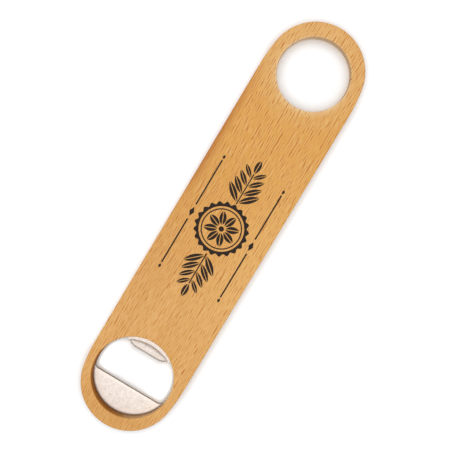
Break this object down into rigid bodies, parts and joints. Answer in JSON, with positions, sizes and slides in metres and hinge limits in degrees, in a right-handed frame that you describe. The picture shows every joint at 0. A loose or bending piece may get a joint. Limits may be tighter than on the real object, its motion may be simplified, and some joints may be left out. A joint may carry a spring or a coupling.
{
  "type": "bottle opener",
  "caption": "Flat wooden paddle bottle opener with a stamped steel insert bonded into its head and a finger hole at its tail.",
  "frame": {"origin": "centre of the flat back face, on the surface that the opener lies on", "axes": "+X along the board towards the finger hole, +Y across the board, +Z out of the front face"},
  "size_m": [0.18, 0.04, 0.009],
  "materials": {
    "beech": "sanded and thinly sealed",
    "steel": "tumbled satin",
    "adhesive": "clear amber film"
  },
  "bodies": {
    "root": {"beech_paddle": "beech", "opener_insert": "steel", "glue_ring": "adhesive"}
  },
  "joints": []
}
